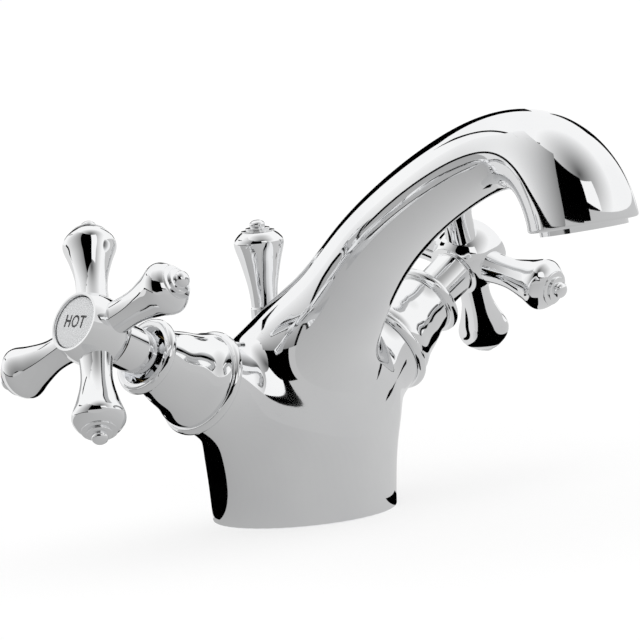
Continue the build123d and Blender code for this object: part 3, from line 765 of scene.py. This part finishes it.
def body_mesh():
    """Body: the net of its distance, relaxed, divided twice and drawn on to the surface, cut at the
    deck, the arm ends and the outlet, with those openings lined as the casting is, and with the
    pocket of the lift rod bored from above."""
    distance = body_field()
    points, quads = net_of(distance, NET_LOW, NET_HIGH, NET_PITCH)
    points = relaxed(drawn_to(distance, points), quads, distance)
    for _ in range(2):
        points, quads = divided(points, quads)
        points = drawn_to(distance, points, 1)
    points = drawn_to(distance, points, 1)
    base = axes_at((0.0, 0.0, 0.0), (1.0, 0.0, 0.0), (0.0, 0.0, 1.0))
    outlet = nozzle_place()
    arms = [valve_place(side) for side in SIDES.values()]
    planes = [
        (base[0] + EDGE * base[3], -base[3], BASE_REACH),
        (outlet[0] + EDGE * outlet[3], -outlet[3], OUTLET_REACH),
    ]
    planes += [(arm[0] + ARM_FACE * arm[3], arm[3], ARM_REACH) for arm in arms]
    points, quads, tris = trimmed(points, quads, planes)
    base_lining = rounded_edge(BASE_R) + [
        (GASKET_R, 0.0), (GASKET_R, GASKET_H), (CAVITY_R, GASKET_H), (CAVITY_R, CAVITY_H)]
    points, quads, tris = lined(points, quads, tris, base, EDGE, base_lining)
    outlet_lining = rounded_edge(STATIONS[-1][2]) + [
        (OUTLET_BORE, 0.0), (OUTLET_BORE, OUTLET_DEPTH)]
    points, quads, tris = lined(points, quads, tris, outlet, EDGE, outlet_lining)
    arm_lining = [(CHAMBER_R, ARM_FACE), (CHAMBER_R, CHAMBER_FLOOR)]
    for arm in arms:
        points, quads, tris = lined(points, quads, tris, arm, ARM_FACE, arm_lining)
    whole = mesh_of("basin_body", points, *outward(points, quads, tris), sharp=BODY_SHARP)
    pocket = [(0.0, BUSH_LOW), (BUSH_R, BUSH_LOW), (BUSH_R, BUSH_TOP), (POCKET_R, BUSH_TOP)]
    pocket += [(POCKET_R, KNOB_TIP), (0.0, KNOB_TIP)]
    return bored(whole, mesh_of("rod_pocket", *turned(pocket, rod_place())))


add_piece("basin_body", body_mesh(), "body", CHROME, ["body_casting"])


# Turned chrome

def swelling(start, narrow, widest, tip):
    """Stem and end of a grip or knob: a smooth curve that swells from the narrow place to the
    widest one and rounds over into a dome, two low rings with a groove at the foot of each, and a
    nub."""
    narrow, widest = np.array(narrow), np.array(widest)
    end = np.array((widest[0], tip - widest[1]))
    stem = narrow + FLARE * (widest - narrow)
    rise = np.array((0.0, widest[1]))
    bulb = smooth_line(np.concatenate([start, stem, rise + DOME * end]), BULB_PITCH)
    rings = eased(np.concatenate([bulb[-1:], rise + STEPS * end]), EASE)
    nub = smooth_line(rise + NUB * end, NUB_PITCH, (0.0, 1.0), (-1.0, 0.0))
    return joined(bulb, rings, nub)


def shroud_profile():
    """Bell cover of a valve: round bead at the body, waisted bell, round bead at the mouth, and the
    inside one wall thickness within."""
    back = arc(BACK_BEAD, BEAD_R, -90, 88)
    front = arc(FRONT_BEAD, BEAD_R, -88, 90)
    mouth_t = FRONT_BEAD[1] + BEAD_R
    lip = eased([(FRONT_BEAD[0], mouth_t), (MOUTH_R, mouth_t), (THROAT_R, SKIRT_T),
                 (THROAT_R, THROAT_T)], EASE)
    inside = [(r - SHROUD_WALL, t) for r, t in WAIST[3:1:-1]]
    back_r = BACK_BEAD[0] - SHROUD_WALL
    inside += [(back_r, BACK_BEAD[1]), (back_r, BACK_BEAD[1] - BEAD_R)]
    return joined(back, smooth_line(WAIST), front, lip, inside)


def hub_profile():
    """Hub of a cross handle: skirt, barrel with rounded back edge, rim and recess for the disc."""
    back = eased([(0.0, SKIRT_FLOOR_T), (SKIRT_BORE, SKIRT_FLOOR_T), (SKIRT_BORE, SKIRT_T),
                  (SKIRT_R, SKIRT_T), (SKIRT_R, HUB_BACK_T), HUB_CORNER, HUB_SWELL[0]], HUB_EASE)
    rim = eased([HUB_SWELL[-1], (RECESS_R, HUB_SWELL[-1][1]), (RECESS_R, RECESS_T),
                 (0.0, RECESS_T)], EASE)
    return joined(back, smooth_line(HUB_SWELL), rim)


def button_profile():
    """Index disc: a low crown, lower by the square of the radius, with an eased edge."""
    r = np.linspace(BUTTON_R - BUTTON_EDGE, 0.0, CROWN_STEPS)
    crown = np.stack([r, BUTTON_TOP - BUTTON_CROWN * (r / BUTTON_R) ** 2], axis=1)
    wall = eased([(0.0, RECESS_T), (BUTTON_R, RECESS_T), (BUTTON_R, BUTTON_TOP - BUTTON_CROWN),
                  crown[0]], EASE)
    return joined(wall, crown)


def grip_profile():
    """Grip of a cross handle: a waisted stem that swells to a knob, with a stepped end."""
    start = [(GRIP_ROOT_R, ARM_SEAT), (GRIP_NARROW[0], (2 * ARM_SEAT + GRIP_NARROW[1]) / 3)]
    return joined([(0.0, ARM_SEAT)], swelling(start, GRIP_NARROW, GRIP_WIDEST, GRIP_TIP))


def knob_profile():
    """Lift knob: foot collar, waisted stem and stepped end."""
    foot = eased([(0.0, KNOB_FOOT[0][1]), *KNOB_FOOT], FOOT_EASE)
    return joined(foot, swelling(KNOB_FOOT[-1:], KNOB_NARROW, KNOB_WIDEST, KNOB_TIP))


def text_mesh(words, size):
    """Thin lettering as a mesh: a text curve, centred, filled, with its points joined."""
    curve = bpy.data.curves.new(words, "FONT")
    curve.body = words
    curve.size = size * MM
    curve.align_x = "CENTER"
    curve.align_y = "CENTER"
    curve.space_character = LETTER_SPACE
    curve.resolution_u = LETTER_STEPS
    curve.extrude = LETTER_DEPTH * MM
    curve.offset = LETTER_BOLD * MM
    holder = bpy.data.objects.new(words, curve)
    bpy.context.scene.collection.objects.link(holder)
    filled = holder.evaluated_get(bpy.context.evaluated_depsgraph_get())
    mesh = bpy.data.meshes.new_from_object(filled)
    bpy.data.objects.remove(holder)
    bpy.data.curves.remove(curve)
    work = bmesh.new()
    work.from_mesh(mesh)
    bmesh.ops.remove_doubles(work, verts=work.verts, dist=1e-7)
    work.to_mesh(mesh)
    work.free()
    return mesh


for name, side in SIDES.items():
    valve = valve_place(side)
    handle = f"{name}_handle"
    shroud = mesh_of(f"{name}_bell_cover", *turned(shroud_profile(), valve, SHROUD_FACETS))
    add_piece(f"{name}_bell_cover", shroud, "body", CHROME, [f"{name}_shroud"])
    hub = mesh_of(f"{name}_cross_hub", *turned(hub_profile(), valve, HUB_FACETS))
    add_piece(f"{name}_cross_hub", hub, handle, CHROME, [f"{name}_hub"])
    button = mesh_of(f"{name}_button", *turned(button_profile(), valve))
    add_piece(f"{name}_button", button, handle, ENAMEL, [f"{name}_index_button"])
    for k in range(GRIPS):
        place = arm_place(side, REST_ANGLE[name] + k * 2 * math.pi / GRIPS)
        title, node = f"{name}_grip_{k + 1}", f"{name}_arm_{k + 1}"
        grip = mesh_of(title, *turned(grip_profile(), place))
        add_piece(title, grip, handle, CHROME, [node])
    # The words stand upright when seen from the front of the disc
    turn_up = -side
    origin, x_dir, y_dir, z_dir = valve
    words = text_mesh(name.upper(), LETTER_SIZE)
    columns = [LETTER_NARROW * turn_up * x_dir, turn_up * y_dir, z_dir]
    matrix = Matrix(np.array(columns).T.tolist()).to_4x4()
    matrix.translation = Vector((origin + (BUTTON_TOP + LETTER_RISE - LETTER_DEPTH) * z_dir) * MM)
    words.transform(matrix)
    add_piece(f"{name}_letters", words, handle, LETTER)

knob = mesh_of("lift_knob_turned", *turned(knob_profile(), rod_place(), KNOB_FACETS))
add_piece("lift_pull", knob, "lift", CHROME, ["lift_knob"])


# Studio

# Tones of the cards: what a perfect mirror would show of them. Only reflections see the cards.
DIM, GREY, PALE, WHITE, BLACK = 0.42, 0.54, 0.95, 1.0, 0.0
DARK = (BLACK, BLACK)

# Sheets on the floor: tones of the left and right end, the two ends in degrees from the camera to
# the right, near and far edge, level
SHEETS = {
    "front_sheet": ((DIM, 0.64), -98, 150, BASE_R, SHEET_END, SHEET_LEVEL),
    "back_sheet": ((0.72, 0.8), 150, 262, BASE_R, SHEET_END, SHEET_LEVEL),
    "far_dark_sheet": (DARK, -115, -38, 1900.0, SHEET_END, FLAG_LEVEL),
}
# Black level strips: from and to towards the camera, from and to to its right, level
STRIPS = {
    "left_floor_flag": ((-115.0, 5.0), (-66.0, -28.0), FLAG_LEVEL),
    "right_raised_flag": ((-66.0, -14.0), (50.0, 70.0), RAISED_LEVEL),
    "right_foot_flag": ((-14.0, 5.0), (21.0, 34.0), FLAG_LEVEL),
}
# Upright cards: tones of the left and right end, the two ends in degrees from the camera to the
# right, heights in degrees of the lower and of the upper edge at the two ends, distance
BOARDS = {
    "camera_flag": (DARK, -38, 14, (9.0, 9.0), (57.0, 45.0), CARD_REACH),
    "window_box": ((WHITE, WHITE), 14, 40, (24.0, 17.0), (43.0, 41.0), WINDOW_REACH),
    "front_board": ((GREY, GREY), -38, 14, (-3.0, -3.0), (9.0, 9.0), CARD_REACH),
    "front_right_board": ((GREY, 0.62), 14, 148, (-3.0, -3.0), (19.5, 3.0), CARD_REACH),
    "front_right_gap": (DARK, 14, 36, (19.5, 17.0), (25.0, 18.0), CARD_REACH),
    "front_left_board": ((PALE, 0.25), -112, -38, (1.5, 1.5), (58.0, 62.0), CARD_REACH),
    "left_horizon_gap": (DARK, -115, -38, (-3.0, -3.0), (1.5, 1.5), CARD_REACH),
    "back_left_flag": (DARK, -185, -148, (3.0, 6.0), (29.0, 25.0), CARD_REACH),
    "back_right_flag": (DARK, 150, 168, (2.0, 2.0), (26.0, 26.0), CARD_REACH),
    "softbox_edge": (DARK, -136, -72, (25.0, 60.0), (29.0, 63.0), CARD_REACH),
}
# Floor: half its width, its grey, and the light of its own at two distances, in metres
FLOOR_HALF = 4.0
FLOOR_GREY = 0.3
FLOOR_NEAR, FLOOR_FAR = (0.1, 0.715), (1.45, 0.895)
# Sky: its level as a light, then the middle of its dim part, in degrees right of the camera and up,
# the reach of that part and its level
SKY_LIGHT = 0.45
SKY_DIM_AT, SKY_DIM_SPAN, SKY_DIM = (16.0, 50.0), 54.0, 0.1
# Square lamps: place, aim, width in metres, and radiance
LAMPS = {
    "overhead_softbox": ((0.0, 0.0, 0.9), (0.0, 0.0, 0.0), 1.5, 1.2),
    "front_fill": (CAM_BACK * 1.6 + Vector((-0.3, 0.0, 0.5)), (0.0, 0.0, 0.05), 0.9, 2.0),
}


def card_light():
    """Even light of the studio cards: each point's own tone, the same from all sides."""
    material = bpy.data.materials.new("card_light")
    material.use_nodes = True
    tree = material.node_tree
    tree.nodes.clear()
    tone = tree.nodes.new("ShaderNodeAttribute")
    tone.attribute_name = "tone"
    glow = tree.nodes.new("ShaderNodeEmission")
    tree.links.new(tone.outputs["Fac"], glow.inputs["Strength"])
    out = tree.nodes.new("ShaderNodeOutputMaterial")
    tree.links.new(glow.outputs["Emission"], out.inputs["Surface"])
    return material


CARD_LIGHT = card_light()


def card(name, points, left_tone, right_tone):
    """Studio card: a grid of points whose tone goes from its left edge to its right one. Only
    reflections see it."""
    rows, columns = points.shape[:2]
    number = np.arange(rows * columns).reshape(rows, columns)
    quads = np.stack([number[:-1, :-1], number[:-1, 1:], number[1:, 1:], number[1:, :-1]], -1)
    mesh = mesh_of(name, points.reshape(-1, 3), quads.reshape(-1, 4), np.zeros((0, 3), int))
    tones = np.tile(np.linspace(left_tone, right_tone, columns), rows).astype(np.float32)
    mesh.attributes.new("tone", "FLOAT", "POINT").data.foreach_set("value", tones)
    mesh.materials.append(CARD_LIGHT)
    board = bpy.data.objects.new(name, mesh)
    bpy.context.scene.collection.objects.link(board)
    board.visible_camera = False
    board.visible_diffuse = False
    board.visible_shadow = False
    board.visible_transmission = False


def towards(azimuth, height):
    """Unit directions at angles from the camera to the right and up, both in radians: the cosine of
    the height times (cos a, sin a) across, and its sine upwards."""
    a = CAM_AZIMUTH + azimuth
    level = np.cos(height)
    return np.stack([level * np.cos(a), level * np.sin(a), np.sin(height) + 0 * a], -1)


def board_card(name, tones, left, right, low, high, reach):
    """Card on a sphere round the object: a grid over the angle from the left end to the right one
    and over the height from the lower edge to the upper one, cut off just above the floor."""
    share = np.linspace(0.0, 1.0, CARD_COLUMNS)
    edges = np.stack([np.interp(share, (0, 1), low), np.interp(share, (0, 1), high)])
    up = np.linspace(0.0, 1.0, CARD_ROWS)[:, None]
    height = np.radians(edges[0] + (edges[1] - edges[0]) * up)
    points = reach * towards(np.radians(left + (right - left) * share), height)
    points[..., 2] = np.maximum(points[..., 2] + CARD_MIDDLE, CARD_LOWEST)
    card(name, points, *tones)


def sheet_card(name, tones, left, right, near, far, level):
    """Card on the floor: a ring sector round the object, a little above the floor."""
    a = CAM_AZIMUTH + np.radians(np.linspace(left, right, CARD_COLUMNS))
    r = np.array([[near], [far]])
    points = np.stack(np.broadcast_arrays(r * np.cos(a), r * np.sin(a), level), -1)
    card(name, points, *tones)


def strip_card(name, forward, across, level):
    """Black level rectangle, given along and across the direction to the camera."""
    f = np.array(forward)[:, None]
    r = np.array(across)[None, :]
    c, n = math.cos(CAM_AZIMUTH), math.sin(CAM_AZIMUTH)
    points = np.stack(np.broadcast_arrays(f * c - r * n, f * n + r * c, level), -1)
    card(name, points, *DARK)


for name, row in SHEETS.items():
    sheet_card(name, *row)
for name, row in STRIPS.items():
    strip_card(name, *row)
for name, row in BOARDS.items():
    board_card(name, *row)

floor_mesh = bpy.data.meshes.new("studio_floor")
floor_corners = [(-FLOOR_HALF, -FLOOR_HALF, 0), (FLOOR_HALF, -FLOOR_HALF, 0),
                 (FLOOR_HALF, FLOOR_HALF, 0), (-FLOOR_HALF, FLOOR_HALF, 0)]
floor_mesh.from_pydata(floor_corners, [], [(0, 1, 2, 3)])
floor = bpy.data.objects.new("studio_floor", floor_mesh)
bpy.context.scene.collection.objects.link(floor)


def worked(tree, operation, first, second=None, clamp=False):
    """Result of one Math node on one or two values of a node tree."""
    node = tree.nodes.new("ShaderNodeMath")
    node.operation = operation
    node.use_clamp = clamp
    tree.links.new(first, node.inputs[0])
    if second is not None:
        tree.links.new(second, node.inputs[1])
    return node.outputs[0]


def seen_ray(tree):
    """One for rays from the camera, in reflections or through glass, nought for all others."""
    path = tree.nodes.new("ShaderNodeLightPath").outputs
    first = worked(tree, "ADD", path["Is Camera Ray"], path["Is Glossy Ray"])
    return worked(tree, "ADD", first, path["Is Transmission Ray"], clamp=True)


# The floor adds to the lamps' light what brings it up to white, and the object's shadow stays
floor_paint, tree, paint, place = new_material("studio_floor")
paint.inputs["Base Color"].default_value = (FLOOR_GREY, FLOOR_GREY, FLOOR_GREY, 1.0)
paint.inputs["Roughness"].default_value = 0.9
paint.inputs["Specular IOR Level"].default_value = 0.0
paint.inputs["Emission Color"].default_value = (1.0, 1.0, 1.0, 1.0)
far = tree.nodes.new("ShaderNodeVectorMath")
far.operation = "LENGTH"
tree.links.new(place, far.inputs[0])
added = mapped(tree, far.outputs["Value"], FLOOR_NEAR, FLOOR_FAR)
tree.links.new(worked(tree, "MULTIPLY", seen_ray(tree), added), paint.inputs["Emission Strength"])
floor_mesh.materials.append(floor_paint)

# The sky is white where it is seen, but dim above the camera, and weaker as a light
world = bpy.data.worlds.new("studio")
bpy.context.scene.world = world
world.use_nodes = True
tree = world.node_tree
sky = tree.nodes["Background"]
sky.inputs["Color"].default_value = (1.0, 1.0, 1.0, 1.0)
level = mapped(tree, seen_ray(tree), (0.0, SKY_LIGHT), (1.0, 1.0))
ray = tree.nodes.new("ShaderNodeTexCoord").outputs["Generated"]
along = tree.nodes.new("ShaderNodeVectorMath")
along.operation = "DOT_PRODUCT"
along.inputs[1].default_value = towards(*np.radians(SKY_DIM_AT))
tree.links.new(ray, along.inputs[0])
away = worked(tree, "ARCCOSINE", along.outputs["Value"])
rise = mapped(tree, away, (0.0, SKY_DIM), (math.radians(SKY_DIM_SPAN), 1.0))
tree.links.new(worked(tree, "MULTIPLY", level, rise), sky.inputs["Strength"])


def lamp(name, spot, aim, width, radiance):
    """Soft square lamp of a given radiance, aimed at a point and seen by no camera or mirror."""
    light = bpy.data.lights.new(name, "AREA")
    light.shape = "RECTANGLE"
    light.size = width
    light.size_y = width
    light.energy = radiance * math.pi * width * width
    holder = bpy.data.objects.new(name, light)
    bpy.context.scene.collection.objects.link(holder)
    holder.location = Vector(spot)
    holder.rotation_euler = (Vector(aim) - Vector(spot)).to_track_quat("-Z", "Y").to_euler()
    holder.visible_glossy = False
    holder.visible_camera = False


for name, row in LAMPS.items():
    lamp(name, *row)

# Camera: it looks at the object a little off its middle, and is rolled
right = Vector((0, 0, 1)).cross(CAM_BACK).normalized()
up = CAM_BACK.cross(right)
look = (-CAM_BACK + CAM_SHIFT[0] * right + CAM_SHIFT[1] * up).normalized()
right = (right - right.dot(look) * look).normalized()
up = right.cross(look)
cam_x = math.cos(CAM_ROLL) * right - math.sin(CAM_ROLL) * up
cam_y = math.sin(CAM_ROLL) * right + math.cos(CAM_ROLL) * up
camera_data = bpy.data.cameras.new("camera")
camera_data.sensor_width = SENSOR
camera_data.lens = CAM_LENS
camera_data.clip_start, camera_data.clip_end = CAM_CLIP
camera = bpy.data.objects.new("camera", camera_data)
bpy.context.scene.collection.objects.link(camera)
turn = Matrix((cam_x, cam_y, -look)).transposed().to_4x4()
turn.translation = CAM_TARGET + CAM_DISTANCE * CAM_BACK
camera.matrix_world = turn
bpy.context.scene.camera = camera
bpy.context.scene.view_settings.view_transform = "Standard"
